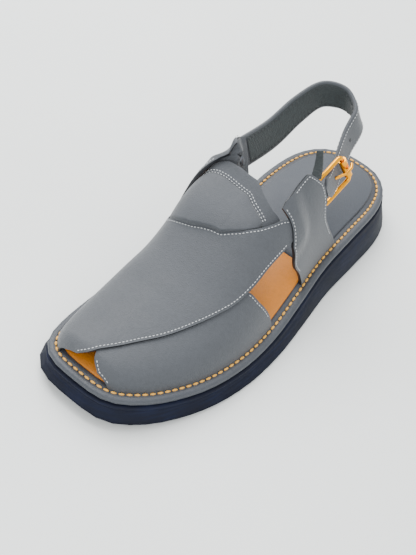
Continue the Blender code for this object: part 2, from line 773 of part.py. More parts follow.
def build_buckle(parts, cutters, strap, gold, leather):
    """Roller buckle at the strap's outer end: frame, roller, prong, and the leather tab that holds its hinge bar."""
    centre, tangent, across, outward, width = strap_frame(ROLLER_PLACE)
    hinge, _, _, hinge_out, _ = strap_frame(HINGE_PLACE)
    ahead = hinge - centre
    ahead = ahead - across * np.dot(ahead, across)
    ahead /= np.linalg.norm(ahead)
    outward = np.cross(across, ahead)
    if np.dot(outward, hinge_out) < 0:
        outward = -outward
    half_strap = 0.5 * STRAP_TIP_THICKNESS
    roller_radius = BUCKLE_WIRE + GAP + ROLLER_WALL
    roller = centre + outward * (half_strap + BUCKLE_CLEARANCE + roller_radius)
    bar = centre + ahead * BUCKLE_LENGTH - outward * (half_strap + BUCKLE_CLEARANCE + BUCKLE_WIRE + GAP + TAB_THICKNESS)
    reach = 0.5 * float(width[0]) + BUCKLE_CLEARANCE + BUCKLE_WIRE
    bend = 2.0 * BUCKLE_WIRE
    corners = [roller - across * reach, roller + across * reach, bar + across * reach, bar - across * reach]
    line = []
    for k, corner in enumerate(corners):
        before = corners[k - 1] - corner
        after = corners[(k + 1) % 4] - corner
        before *= bend / np.linalg.norm(before)
        after *= bend / np.linalg.norm(after)
        for t in (0.0, 0.25, 0.5, 0.75, 1.0):
            line.append(corner + before * (1.0 - t) ** 2 + after * t**2)
    wire("buckle_frame", line, BUCKLE_WIRE, gold, parts, closed=True, sides=3)
    half_roller = reach - bend - ROLLER_END_GAP
    inner = BUCKLE_WIRE + GAP
    tube("buckle_roller", roller - across * half_roller, roller + across * half_roller, roller_radius, inner, gold, parts)

    # The prong hooks round the hinge bar, comes through the strap's hole and rests on the roller.
    lap = BUCKLE_WIRE + GAP + PRONG_WIRE
    hook = [
        bar + ahead * lap * math.cos(angle) + outward * lap * math.sin(angle)
        for angle in np.radians(np.arange(-180.0, 100.0, 30.0))
    ]
    below = centre + ahead * 0.5 * BUCKLE_LENGTH - outward * (half_strap + GAP + PRONG_WIRE)
    above = roller + ahead * PRONG_AHEAD * roller_radius + outward * roller_radius
    rest = roller + outward * PRONG_OVER * (roller_radius + GAP + PRONG_WIRE)
    tip = rest - ahead * (PRONG_TIP - roller_radius) - outward * PRONG_DROP * roller_radius
    wire("buckle_prong", hook + [below, above, rest, tip], PRONG_WIRE, gold, parts)
    slot = wire("prong_slot", [below, above], PRONG_WIRE + GAP + SLOT_ROOM, None, cutters)
    cut_with(strap, helper(slot))

    # Tab: a sleeve on the hinge bar, in two lengths beside the prong, joined to a strip on the quarter's inside.
    sleeve_out = BUCKLE_WIRE + GAP + TAB_THICKNESS
    gap_half = PRONG_WIRE + 2.0 * GAP
    ends = ((-half_roller, -gap_half), (gap_half, half_roller))
    loops = [
        tube(f"tab_loop_{k}", bar + across * a, bar + across * b, sleeve_out, inner, leather, cutters)
        for k, (a, b) in enumerate(ends)
    ]
    low_turn, high_turn = TAB_TURNS
    turns = np.linspace(low_turn, high_turn, 5)
    seat = lifted(turns, HINGE_STATION + TAB_REACH, np.full(5, -GAP - TAB_THICKNESS))
    seat_top = lifted(turns, HINGE_STATION + TAB_REACH, np.full(5, -GAP))
    root = bar - outward * (sleeve_out - TAB_SKIVE) + across * np.linspace(-half_roller, half_roller, 5)[:, None]
    root_top = root + outward * (TAB_THICKNESS - 2.0 * TAB_SKIVE)
    blend = smooth(0.0, 1.0, np.linspace(0.0, 1.0, 7))[None, :, None]
    straight = np.linspace(0.0, 1.0, 7)[None, :, None]
    inside = root[:, None] + (seat - root)[:, None] * (0.5 * straight + 0.5 * blend)
    outside = root_top[:, None] + (seat_top - root_top)[:, None] * (0.5 * straight + 0.5 * blend)
    tab = grid_solid("buckle_tab", outside, inside, leather, parts)
    join_solids(tab, [helper(loop) for loop in loops])
    notch_ends = [bar - across * gap_half, bar + across * gap_half]
    notch = wire("prong_notch", notch_ends, lap + PRONG_WIRE + 2.0 * GAP, None, cutters, sides=6)
    cut_with(tab, helper(notch))


def build_rivet(parts, metal):
    """Flat oval rivet on the inner face of the flap, through the strap's inner end."""
    _, tangent, across, outward, _ = strap_frame(0.0)
    turn, station = (np.array([value]) for value in RIVET_SPOT)
    seat = lifted(turn, station, flap_lift(turn, station))[0] - outward * GAP
    rings = []
    for height, share in ((0.0, 1.0), (0.5, 1.0), (0.85, 0.82), (1.0, 0.5)):
        angles = 2.0 * np.pi * np.arange(RIVET_SIDES) / RIVET_SIDES
        ring = seat - outward * RIVET_HEIGHT * height + across * np.sin(angles)[:, None] * RIVET_RADIUS * share
        rings.append(ring + tangent * np.cos(angles)[:, None] * RIVET_RADIUS * RIVET_OVAL * share)
    points, faces = sleeve(rings)
    faces += [tuple(range(RIVET_SIDES)), tuple(range(3 * RIVET_SIDES, 4 * RIVET_SIDES))]
    new_object("rivet", points, faces, metal, parts)


def build_scene():
    """Clears the scene and builds every sub-part."""
    for old in list(bpy.data.objects):
        bpy.data.objects.remove(old)
    parts = bpy.data.collections.new("peshawari_chappal")
    cutters = bpy.data.collections.new("cutters")
    for collection in (parts, cutters):
        bpy.context.scene.collection.children.link(collection)
    rubber = material("sole_rubber", (0.012, 0.018, 0.035), 0.6)
    grey = material("grey_leather", (0.18, 0.185, 0.20), 0.55)
    tan = material("tan_leather", (0.75, 0.28, 0.03), 0.5)
    lining = material("lining_leather", (0.08, 0.095, 0.10), 0.6)
    gold = material("gold_metal", (0.95, 0.46, 0.0), 0.25, 1.0)
    build_outsole(parts, cutters, rubber)
    build_midsole(parts, grey)
    build_inner_sole("insole", True, parts, tan)
    build_inner_sole("heel_sock", False, parts, grey)
    build_upper(parts, cutters, grey)
    build_tongue(parts, grey, grey)
    strap = build_strap(parts, grey)
    build_buckle(parts, cutters, strap, gold, lining)
    build_rivet(parts, gold)


build_scene()
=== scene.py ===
"""Looks of the left peshawari chappal: leathers, stitches, lining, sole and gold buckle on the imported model.

Metres, +Z up, toe along -Y, outer side of the foot at +X. A station is a share of the footbed's length from
the heel. A turn runs over the last from 0 at the outer feather edge to 1 at the inner one.
"""

import math

import bmesh
import bpy
import numpy as np
from bpy.props import FloatProperty, FloatVectorProperty, PointerProperty
from mathutils import Matrix


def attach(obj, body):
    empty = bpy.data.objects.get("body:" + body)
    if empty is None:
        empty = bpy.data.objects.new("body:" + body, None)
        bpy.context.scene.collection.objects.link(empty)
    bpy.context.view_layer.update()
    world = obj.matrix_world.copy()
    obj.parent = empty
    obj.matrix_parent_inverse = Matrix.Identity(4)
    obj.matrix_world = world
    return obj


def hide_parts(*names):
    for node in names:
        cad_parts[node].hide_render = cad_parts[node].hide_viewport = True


bl_info = {
    "name": "Peshawari chappal",
    "version": (1, 0, 0),
    "blender": (4, 5, 0),
    "location": "View3D > Sidebar > Chappal",
    "description": "Builds the leathers, stitches and fittings of a left chappal round its packed model",
    "category": "Add Mesh",
}

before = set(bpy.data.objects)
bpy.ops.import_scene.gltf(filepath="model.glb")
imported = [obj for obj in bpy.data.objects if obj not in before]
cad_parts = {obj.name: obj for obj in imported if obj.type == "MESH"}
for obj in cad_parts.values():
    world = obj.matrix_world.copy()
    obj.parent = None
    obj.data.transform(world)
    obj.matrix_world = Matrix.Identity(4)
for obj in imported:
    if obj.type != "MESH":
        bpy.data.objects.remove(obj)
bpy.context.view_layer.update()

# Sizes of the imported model
FOOTBED_LENGTH = 0.294
BALL_WIDTH = 0.106
HEEL_HEIGHT = 0.029
BALL_HEIGHT = 0.017
TOE_HEIGHT = 0.024
INSTEP_RISE = 0.048
MEDIAL_LEAN = 0.165
TOE_ROUND_START = 0.938
TOE_ROUND_END = 0.9675
GAP = 0.0003
HEEL_FLARE = 0.0064
TOE_FLARE = 0.0046
CHANNEL_INSET = 0.0046
CHANNEL_WIDTH = 0.0014
CHANNEL_DEPTH = 0.0007
FEATHER_INSET = 0.0084
FEATHER_END = 0.963
LEATHER = 0.0022
SIDE_SKIVE = 0.0002
OVERLAY_LIFT = 0.0013
QUARTER_LIFT = 0.0026
MEDIAL_QUARTER_LIFT = 0.0014
TONGUE_THICKNESS = 0.0020
TONGUE_DROP = 0.0009
PAD_EDGE = 0.0012
PAD_RISE = 0.0062
PAD_CREST = 0.72
PAD_FULLNESS = 0.8
PAD_COVER = 0.0010
STRAP_HEIGHT = 0.0985
STRAP_WIDTH = 0.0215
STRAP_THICKNESS = 0.0034
STRAP_TIP_THICKNESS = 0.0024
THINNING = (0.6, 0.8)
POINTING = (0.955, 1.0)
POINT_NARROWING = 0.55
BAND_SIDES = 28
LINING_SPAN = (0.03, 0.86)
LINING_SHARE = 0.84
LINING_STITCH_PLACE = 0.36
BAND_STITCH_SPAN = (0.52, 0.95)
BAND_STITCH_PLACE = 0.40
# The strap's holes are not cut: each is a thin dark disc on the outer face, painted shade for the dark inside
# of a hole
HOLE_PLACES = (0.69, 0.88)
HOLE_RADIUS = 0.0013
SHADE_DISC_DEPTH = 0.0003
BUCKLE_WIRE = 0.0016
BUCKLE_LENGTH = 0.0240
ROLLER_WALL = 0.0009
PRONG_WIRE = 0.0010
PRONG_TIP = 0.0062
BUCKLE_CLEARANCE = 0.0012
TAB_THICKNESS = 0.0016
HINGE_PLACE = 0.965
ROLLER_PLACE = 0.80
FLAP_PLACE = 0.02
FLAP_STATIONS = (0.436, 0.466)
FLAP_TURNS = (0.875, 0.98)
PRONG_AHEAD = 1.7
PRONG_OVER = 1.12
PRONG_DROP = 0.3
TOEWARD = 1.35
RING_POINTS = 220

# Edge of the footbed seen from above
OUTLINE = (
    # across, along
    (-0.020, 0.000),
    (0.165, 0.010),
    (0.302, 0.055),
    (0.375, 0.130),
    (0.405, 0.245),
    (0.430, 0.365),
    (0.487, 0.484),
    (0.533, 0.590),
    (0.543, 0.697),
    (0.497, 0.803),
    (0.388, 0.900),
    (0.258, 0.963),
    (0.125, 0.991),
    (-0.080, 0.996),
    (-0.255, 0.990),
    (-0.360, 0.962),
    (-0.415, 0.908),
    (-0.446, 0.820),
    (-0.453, 0.718),
    (-0.424, 0.600),
    (-0.378, 0.465),
    (-0.362, 0.345),
    (-0.384, 0.225),
    (-0.372, 0.120),
    (-0.300, 0.050),
    (-0.170, 0.010),
)
LAST = (
    # station, rise, outer fullness, inner fullness, inner lean
    (0.200, 2.33, 2.4, 3.0, 0.000),
    (0.290, 2.21, 2.4, 3.0, 0.000),
    (0.340, 2.04, 2.4, 3.1, 0.000),
    (0.374, 1.83, 2.4, 3.3, 0.000),
    (0.408, 1.62, 2.4, 3.9, 0.012),
    (0.442, 1.45, 2.4, 4.8, 0.050),
    (0.476, 1.31, 2.4, 5.5, 0.065),
    (0.510, 1.185, 2.4, 5.2, 0.065),
    (0.561, 1.025, 2.4, 4.3, 0.060),
    (0.612, 0.850, 2.4, 3.5, 0.060),
    (0.680, 0.658, 2.4, 3.0, 0.055),
    (0.748, 0.520, 2.4, 2.8, 0.045),
    (0.816, 0.417, 2.4, 2.6, 0.025),
    (0.884, 0.333, 2.3, 2.4, 0.010),
    (0.952, 0.270, 2.2, 2.2, 0.000),
    (1.000, 0.235, 2.2, 2.2, 0.000),
)
VAMP = (
    # turn, back, front
    (0.190, 0.442, 0.466),
    (0.215, 0.447, 0.517),
    (0.235, 0.452, 0.565),
    (0.246, 0.457, 0.612),
    (0.264, 0.466, 0.660),
    (0.292, 0.480, 0.704),
    (0.332, 0.506, 0.764),
    (0.368, 0.528, 0.820),
    (0.408, 0.547, 0.869),
    (0.440, 0.561, 0.914),
    (0.468, 0.571, 0.944),
    (0.515, 0.588, 0.955),
    (0.580, 0.599, 0.960),
    (0.660, 0.602, 0.961),
    (0.740, 0.600, 0.962),
    (0.808, 0.593, 0.962),
    (0.850, 0.572, 0.962),
    (0.900, 0.545, 0.962),
    (1.000, 0.510, 0.962),
)
SIDE_PANEL = (
    # turn, back, front
    (0.000, 0.585, 0.962),
    (0.070, 0.595, 0.962),
    (0.135, 0.607, 0.962),
    (0.173, 0.614, 0.962),
    (0.218, 0.619, 0.962),
    (0.245, 0.624, 0.962),
    (0.292, 0.667, 0.962),
    (0.340, 0.721, 0.960),
    (0.388, 0.776, 0.957),
    (0.430, 0.827, 0.952),
    (0.470, 0.871, 0.940),
)
OUTER_QUARTER = (
    # turn, back, front
    (0.000, 0.299, 0.449),
    (0.050, 0.332, 0.466),
    (0.088, 0.345, 0.480),
    (0.130, 0.343, 0.485),
    (0.178, 0.350, 0.486),
    (0.202, 0.359, 0.479),
    (0.238, 0.372, 0.471),
    (0.270, 0.384, 0.469),
    (0.300, 0.418, 0.470),
    (0.328, 0.456, 0.471),
)
INNER_QUARTER = (
    # turn, back, front
    (1.000, 0.408, 0.545),
    (0.930, 0.406, 0.550),
    (0.885, 0.404, 0.552),
    (0.850, 0.402, 0.545),
    (0.800, 0.400, 0.522),
    (0.760, 0.401, 0.508),
    (0.730, 0.402, 0.497),
    (0.705, 0.404, 0.488),
    (0.680, 0.409, 0.479),
    (0.655, 0.416, 0.472),
    (0.625, 0.425, 0.464),
    (0.595, 0.435, 0.456),
)
TONGUE = (
    # turn, back, front
    (0.275, 0.490, 0.600),
    (0.300, 0.481, 0.630),
    (0.362, 0.484, 0.650),
    (0.430, 0.479, 0.655),
    (0.480, 0.469, 0.655),
    (0.520, 0.463, 0.655),
    (0.575, 0.463, 0.655),
    (0.630, 0.468, 0.655),
    (0.700, 0.475, 0.650),
    (0.750, 0.484, 0.640),
    (0.790, 0.505, 0.625),
    (0.830, 0.540, 0.610),
    (0.870, 0.548, 0.606),
    (0.900, 0.556, 0.600),
)
TONGUE_PAD = (
    # turn, back, front
    (0.368, 0.517, 0.524),
    (0.402, 0.513, 0.541),
    (0.462, 0.506, 0.565),
    (0.510, 0.495, 0.583),
    (0.545, 0.493, 0.589),
    (0.590, 0.493, 0.592),
    (0.630, 0.494, 0.583),
    (0.670, 0.496, 0.572),
    (0.710, 0.499, 0.560),
    (0.745, 0.504, 0.545),
    (0.765, 0.513, 0.530),
)
STRAP = (
    # across, along, height, lean, width
    (-0.290, 0.416, 0.832, -25.0, 1.00),
    (-0.280, 0.303, 0.838, -25.0, 0.98),
    (-0.266, 0.218, 0.924, -20.0, 0.96),
    (-0.222, 0.156, 0.994, -10.0, 0.93),
    (-0.125, 0.126, 1.000, 1.0, 0.90),
    (-0.028, 0.125, 0.985, 14.0, 0.87),
    (0.073, 0.146, 0.956, 28.0, 0.84),
    (0.118, 0.202, 0.870, 27.0, 0.82),
    (0.180, 0.261, 0.797, 25.0, 0.79),
    (0.222, 0.300, 0.770, 24.0, 0.78),
    (0.250, 0.338, 0.757, 24.0, 0.74),
)

# Soft marks that wear leaves in the leather: where they are, how far they reach each way, and how deep
VAMP_MARKS = (
    # turn, station, reach over, reach along, depth
    (0.300, 0.555, 0.055, 0.022, 0.0007),
    (0.420, 0.690, 0.120, 0.030, 0.0005),
    (0.620, 0.760, 0.150, 0.028, 0.0006),
    (0.760, 0.660, 0.090, 0.040, 0.0006),
    (0.560, 0.880, 0.120, 0.030, 0.0004),
)
QUARTER_MARKS = (
    # turn, station, reach over, reach along, depth
    (0.170, 0.400, 0.090, 0.020, 0.0003),
    (0.225, 0.430, 0.060, 0.018, 0.0004),
)
NO_MARKS = ()

UNDER_VAMP = 0.012
FLAP_RISE = 0.0085
FLAP_TRIM = 0.0025
FLAP_MIDDLE = 0.442
FLAP_REACH = 0.016

# The tab's loose end, measured from the hinge bar's inner end: ahead, across and outward
TAB_END_FOOT = (-0.0020, 0.0040, 0.0018)
TAB_END_TIP = (-0.0165, 0.0150, 0.0038)
TAB_END_WIDTH = 0.0072
TAB_END_POINT = 0.35

# The photograph's camera
CAMERA_TURN = 30.8
CAMERA_RISE = 46.6
CAMERA_ROLL = 12.0
CAMERA_DISTANCE = 0.6851
CAMERA_AIM = 0.150
FOCAL_PIXELS = 1000.0
FRAME_WIDTH = 416
FRAME_HEIGHT = 555
CENTRE_ACROSS = 229.5
CENTRE_DOWN = 286.5
SENSOR = 36.0


def linear(code):
    """A colour given as six sRGB hex digits, as linear red, green, blue and alpha."""
    found = []
    for k in (0, 2, 4):
        value = int(code[k : k + 2], 16) / 255.0
        found.append(value / 12.92 if value <= 0.04045 else ((value + 0.055) / 1.055) ** 2.4)
    return (*found, 1.0)


def smooth(low, high, value):
    """Goes from 0 to 1 between two values, level at both ends."""
    t = np.clip((np.asarray(value, float) - low) / (high - low), 0.0, 1.0)
    return t * t * (3.0 - 2.0 * t)


def column(table, place_in_row, key, value):
    """Reads one column of a table at any value of its key column, with monotone cubic steps between rows."""
    rows = np.array(sorted(table, key=lambda row: row[key]), float)
    x = rows[:, key]
    y = rows[:, place_in_row]
    step = np.diff(x)
    slope = np.diff(y) / step
    tangent = np.zeros(len(x))
    for i in range(1, len(x) - 1):
        if slope[i - 1] * slope[i] > 0:
            tangent[i] = 2.0 * slope[i - 1] * slope[i] / (slope[i - 1] + slope[i])
    tangent[0] = slope[0]
    tangent[-1] = slope[-1]
    value = np.clip(value, x[0], x[-1])
    i = np.clip(np.searchsorted(x, value) - 1, 0, len(step) - 1)
    t = (value - x[i]) / step[i]
    return (
        (2 * t**3 - 3 * t**2 + 1) * y[i]
        + (t**3 - 2 * t**2 + t) * step[i] * tangent[i]
        + (3 * t**2 - 2 * t**3) * y[i + 1]
        + (t**3 - t**2) * step[i] * tangent[i + 1]
    )


def through(points, per_span, closed=False):
    """A smooth curve through the points, with a number of samples between each two."""
    points = np.asarray(points, float)
    if not closed:
        points = np.vstack([2 * points[0] - points[1], points, 2 * points[-1] - points[-2]])
    count = len(points)
    spans = range(count) if closed else range(1, count - 2)
    found = []
    for i in spans:
        a, b, c, d = (points[(i + k - 1) % count] for k in range(4))
        for t in np.arange(per_span) / per_span:
            bend = (2 * a - 5 * b + 4 * c - d) * t * t + (3 * b - a - 3 * c + d) * t**3
            found.append(0.5 * (2 * b + (c - a) * t + bend))
    if not closed:
        found.append(points[-2])
    return np.array(found)


def lengths(points):
    """Length along a polyline up to each of its points."""
    return np.concatenate([[0.0], np.cumsum(np.linalg.norm(np.diff(points, axis=0), axis=1))])


def along(points, count, values=None):
    """The polyline, or values given at its points, read at evenly spaced lengths."""
    length = lengths(points)
    values = points if values is None else values
    even = np.linspace(0.0, length[-1], count)
    return np.stack([np.interp(even, length, values[:, k]) for k in range(values.shape[1])], axis=1)


def footprint():
    """Edge of the footbed from the heel round the outer side to the toe and back, with outward normals."""
    dense = through(np.array(OUTLINE) * (BALL_WIDTH, FOOTBED_LENGTH), 24, closed=True)
    dense = np.roll(dense, -int(np.argmin(dense[:, 1])), axis=0)
    toe = int(np.argmax(dense[:, 1]))
    outer = along(dense[: toe + 1], RING_POINTS)
    inner = along(np.vstack([dense[toe:], dense[:1]]), RING_POINTS)
    ring = np.vstack([outer[:-1], inner[:-1]])
    tangent = np.roll(ring, -1, axis=0) - np.roll(ring, 1, axis=0)
    normal = np.stack([tangent[:, 1], -tangent[:, 0]], axis=1)
    return ring, normal / np.linalg.norm(normal, axis=1)[:, None]


def flare(share):
    """How far the sole's band stands out at the ground, by the share of the way from heel to toe."""
    return HEEL_FLARE + (TOE_FLARE - HEEL_FLARE) * smooth(0.1, 0.9, share)


EDGE, EDGE_NORMAL = footprint()
WIDEST = EDGE + EDGE_NORMAL * flare(EDGE[:, 1:] / FOOTBED_LENGTH)
MIDDLE_X, MIDDLE_S = 0.5 * (WIDEST.max(axis=0) + WIDEST.min(axis=0))


def place(x, s, z):
    """World points from the distance across, the distance from the heel and the height."""
    x, s, z = np.broadcast_arrays(x, s, z)
    return np.stack([x - MIDDLE_X, MIDDLE_S - s, z], axis=-1)


def bed(s):
    """Height of the footbed's top."""
    share = s / FOOTBED_LENGTH
    toe = np.clip((share - 0.697) / 0.303, 0.0, 1.3) ** 2
    to_ball = (BALL_HEIGHT - HEEL_HEIGHT) * smooth(0.187, 0.68, share)
    return HEEL_HEIGHT + to_ball + (TOE_HEIGHT - BALL_HEIGHT) * toe


def edge_ring(outset, drop):
    """The footbed's edge moved outwards, a distance below the footbed's top."""
    moved = EDGE + EDGE_NORMAL * outset
    return place(moved[:, 0], moved[:, 1], bed(moved[:, 1]) - drop)


def feather(station):
    """Where the last meets the footbed on the outer and inner side."""
    inset = EDGE - EDGE_NORMAL * FEATHER_INSET
    s = np.minimum(station, FEATHER_END) * FOOTBED_LENGTH
    outer = inset[:RING_POINTS]
    inner = np.vstack([inset[RING_POINTS - 1 :], inset[:1]])[::-1]
    sides = [np.interp(s, np.maximum.accumulate(side[:, 1]), side[:, 0]) for side in (outer, inner)]
    return sides[0], sides[1]


def last(turn, station):
    """Surface of the last, which the upper follows."""
    turn, station = np.broadcast_arrays(np.asarray(turn, float), np.asarray(station, float))
    outer, inner = feather(station)
    middle = 0.5 * (outer + inner)
    half = 0.5 * (outer - inner)
    toe = np.clip((station - TOE_ROUND_START) / (TOE_ROUND_END - TOE_ROUND_START), 0.0, 0.98)
    rise = INSTEP_RISE * column(LAST, 1, 0, station) * np.sqrt(1.0 - toe**2)
    full = np.where(turn < 0.5, column(LAST, 2, 0, station), column(LAST, 3, 0, station))
    cosine = np.cos(np.pi * turn)
    up = rise * np.abs(np.sin(np.pi * turn)) ** (2.0 / full)
    lean = MEDIAL_LEAN + column(LAST, 4, 0, station) * smooth(0.5, 0.8, turn)
    across = middle + half * np.sign(cosine) * np.abs(cosine) ** (2.0 / full) - lean * up
    s = station * FOOTBED_LENGTH
    return place(across, s, bed(s) + GAP + up)


def facing_out(turn, station):
    """Outward unit normals of the last."""
    step = 0.002
    turn, station = np.broadcast_arrays(np.asarray(turn, float), np.asarray(station, float))
    low = np.clip(turn - step, 0.0, 1.0)
    high = np.clip(turn + step, 0.0, 1.0)
    over = last(high, station) - last(low, station)
    forward = last(turn, station + step) - last(turn, station - step)
    normal = np.cross(over, forward)
    normal /= np.linalg.norm(normal, axis=-1)[..., None]
    rim = (turn < 0.004) | (turn > 0.996)
    normal[..., 2] = np.where(rim, 0.0, normal[..., 2])
    return normal


def lifted(turn, station, lift):
    """Surface of the last moved outwards by a thickness."""
    return last(turn, station) + facing_out(turn, station) * np.asarray(lift)[..., None]


def strap_line(per_span=5):
    """Centre, tangent, direction across, outward direction and width of the heel strap."""
    sizes = (BALL_WIDTH, FOOTBED_LENGTH, STRAP_HEIGHT, math.radians(1.0), STRAP_WIDTH)
    rows = through(np.array(STRAP) * sizes, per_span)
    centre = place(rows[:, 0], rows[:, 1], rows[:, 2])
    tangent = np.gradient(centre, axis=0)
    tangent /= np.linalg.norm(tangent, axis=1)[:, None]
    upright = np.array([0.0, 0.0, 1.0]) - tangent * tangent[:, 2:3]
    upright /= np.linalg.norm(upright, axis=1)[:, None]
    aside = np.cross(tangent, upright)
    lean = rows[:, 3:4]
    across = upright * np.cos(lean) + aside * np.sin(lean)
    return centre, tangent, across, np.cross(across, tangent), rows[:, 4]


def strap_frame(share):
    """The same five values at one share of the strap's line."""
    values = strap_line()
    where = share * (len(values[0]) - 1)
    found = []
    for value in values:
        value = value.reshape(len(value), -1)
        columns = [np.interp(where, range(len(value)), value[:, k]) for k in range(value.shape[1])]
        found.append(np.array(columns))
    return found


def no_lift(turn, station):
    return np.zeros_like(turn)


def vamp_lift(turn, station):
    return OVERLAY_LIFT * (1.0 - smooth(0.48, 0.62, turn))


def outer_lift(turn, station):
    return QUARTER_LIFT * smooth(0.405, 0.445, station) * smooth(0.09, 0.17, turn)


def flap_lift(turn, station):
    """Lift of the inner quarter, whose rear flap lies against the strap's inner face."""
    centre, _, _, outward, _ = strap_frame(FLAP_PLACE)
    wall = last(turn, station)
    facing = facing_out(turn, station) @ outward
    proud = (wall - centre) @ outward + 0.5 * STRAP_THICKNESS + 3.0 * GAP
    drawn_in = -proud / np.maximum(facing, 0.5) - LEATHER
    share = (1.0 - smooth(*FLAP_STATIONS, station)) * (1.0 - smooth(*FLAP_TURNS, turn))
    over_tongue = MEDIAL_QUARTER_LIFT * smooth(0.46, 0.505, station)
    return share * np.minimum(drawn_in, 0.0) + over_tongue


def level_edge(turn, station):
    return 0.0


def flap_rise(turn, station):
    """How far the flap is drawn tight between the tongue and the strap, and how far its corner is trimmed."""
    near = np.exp(-(((station - FLAP_MIDDLE) / FLAP_REACH) ** 2))
    over = (0.4 + 0.6 * smooth(0.58, 0.68, turn)) * (1.0 - smooth(0.72, 0.86, turn))
    corner = (1.0 - smooth(0.405, 0.428, station)) * (1.0 - smooth(0.66, 0.73, turn))
    return FLAP_RISE * near * over - FLAP_TRIM * corner


def tongue_lift(turn, station):
    return np.full_like(turn, -TONGUE_DROP - TONGUE_THICKNESS)


def worn(marks, turn, station):
    """Depth of the soft marks at points of the upper."""
    depth = np.zeros(np.broadcast(turn, station).shape)
    for at_turn, at_station, over, forward, deep in marks:
        far = ((turn - at_turn) / over) ** 2 + ((station - at_station) / forward) ** 2
        depth = depth + deep * np.exp(-far)
    return depth


def posed(first, second, third, where):
    """Matrix with three axes and a place."""
    made = np.eye(4)
    made[:3] = np.column_stack([first, second, third, where])
    return Matrix(made.tolist())


def add(tree, kind, inputs=None, **settings):
    """Adds a node with its settings, values and links."""
    node = tree.nodes.new("ShaderNode" + kind)
    for key, value in settings.items():
        setattr(node, key, value)
    for key, value in (inputs or {}).items():
        if isinstance(value, bpy.types.NodeSocket):
            tree.links.new(value, node.inputs[key])
        else:
            node.inputs[key].default_value = value
    return node


def ramp(tree, factor, stops):
    """Colours along a factor."""
    node = add(tree, "ValToRGB", {"Fac": factor})
    band = node.color_ramp
    while len(band.elements) < len(stops):
        band.elements.new(0.5)
    for element, (position, colour) in zip(band.elements, stops):
        element.position = position
        element.color = colour
    return node.outputs["Color"]


def shade(colour, amount):
    """A colour made lighter or darker."""
    return (*(min(1.0, value * amount) for value in tuple(colour)[:3]), 1.0)


def started(name, roughness, **sockets):
    """A material with its shader and Object coordinates."""
    made = bpy.data.materials.new(name)
    made.use_nodes = True
    tree = made.node_tree
    shader = tree.nodes["Principled BSDF"]
    shader.inputs["Roughness"].default_value = roughness
    for key, value in sockets.items():
        shader.inputs[key.replace("_", " ")].default_value = value
    where = add(tree, "TexCoord").outputs["Object"]
    return made, tree, shader, where


def leather(name, colour, roughness, grain, depth, mottle, sheen=0.0):
    """Chrome-tanned leather: pores as small cells, the hide's broad mottle, and a bloom from buffing."""
    made, tree, shader, where = started(name, roughness)
    shader.inputs["Sheen Weight"].default_value = sheen
    shader.inputs["Sheen Roughness"].default_value = 0.5
    shader.inputs["IOR"].default_value = 1.45
    broad = add(tree, "TexNoise", {"Vector": where, "Scale": 28.0, "Detail": 4.0, "Roughness": 0.6})
    fine = add(tree, "TexNoise", {"Vector": where, "Scale": 420.0, "Detail": 3.0, "Roughness": 0.7})
    both = add(tree, "Math", {0: broad.outputs["Fac"], 1: fine.outputs["Fac"]}, operation="ADD")
    half = add(tree, "Math", {0: both.outputs[0], 1: 0.5}, operation="MULTIPLY")
    stops = ((0.36, shade(colour, 1.0 - mottle)), (0.5, tuple(colour)), (0.66, shade(colour, 1.0 + mottle)))
    tree.links.new(ramp(tree, half.outputs[0], stops), shader.inputs["Base Color"])
    pores = add(tree, "TexVoronoi", {"Vector": where, "Scale": 1.0 / grain}, feature="DISTANCE_TO_EDGE")
    relief = add(tree, "Math", {0: pores.outputs["Distance"], 1: 1.6}, operation="MULTIPLY", use_clamp=True)
    height = add(tree, "Math", {0: relief.outputs[0], 1: fine.outputs["Fac"]}, operation="ADD")
    bump = add(tree, "Bump", {"Strength": 0.5, "Distance": depth, "Height": height.outputs[0]})
    tree.links.new(bump.outputs["Normal"], shader.inputs["Normal"])
    rough = add(tree, "MapRange", {"Value": broad.outputs["Fac"], "From Min": 0.3, "From Max": 0.7})
    rough.inputs["To Min"].default_value = roughness - 0.07
    rough.inputs["To Max"].default_value = roughness + 0.07
    tree.links.new(rough.outputs["Result"], shader.inputs["Roughness"])
    return made


def rubber(name, colour):
    """Moulded black rubber: faint streaks along the band from the mould's grinding, and a dusty bloom."""
    made, tree, shader, where = started(name, 0.66)
    shader.inputs["Specular IOR Level"].default_value = 0.2
    streaks = add(tree, "Mapping", {"Vector": where, "Scale": (18.0, 18.0, 900.0)})
    lines = add(tree, "TexNoise", {"Vector": streaks.outputs[0], "Scale": 1.0, "Detail": 3.0,
                                   "Roughness": 0.65})
    cloud = add(tree, "TexNoise", {"Vector": where, "Scale": 45.0, "Detail": 4.0})
    mixed = add(tree, "Math", {0: lines.outputs["Fac"], 1: cloud.outputs["Fac"]}, operation="ADD")
    half = add(tree, "Math", {0: mixed.outputs[0], 1: 0.5}, operation="MULTIPLY")
    stops = ((0.38, shade(colour, 0.7)), (0.52, tuple(colour)), (0.66, shade(colour, 1.9)))
    tree.links.new(ramp(tree, half.outputs[0], stops), shader.inputs["Base Color"])
    bump = add(tree, "Bump", {"Strength": 0.45, "Distance": 0.0003, "Height": lines.outputs["Fac"]})
    tree.links.new(bump.outputs["Normal"], shader.inputs["Normal"])
    return made


def thread(name, colour):
    """Waxed polyester thread, whose plies show as small changes of tone."""
    made, tree, shader, where = started(name, 0.55)
    twist = add(tree, "TexNoise", {"Vector": where, "Scale": 1500.0, "Detail": 2.0})
    stops = ((0.35, shade(colour, 0.72)), (0.6, tuple(colour)))
    tree.links.new(ramp(tree, twist.outputs["Fac"], stops), shader.inputs["Base Color"])
    return made


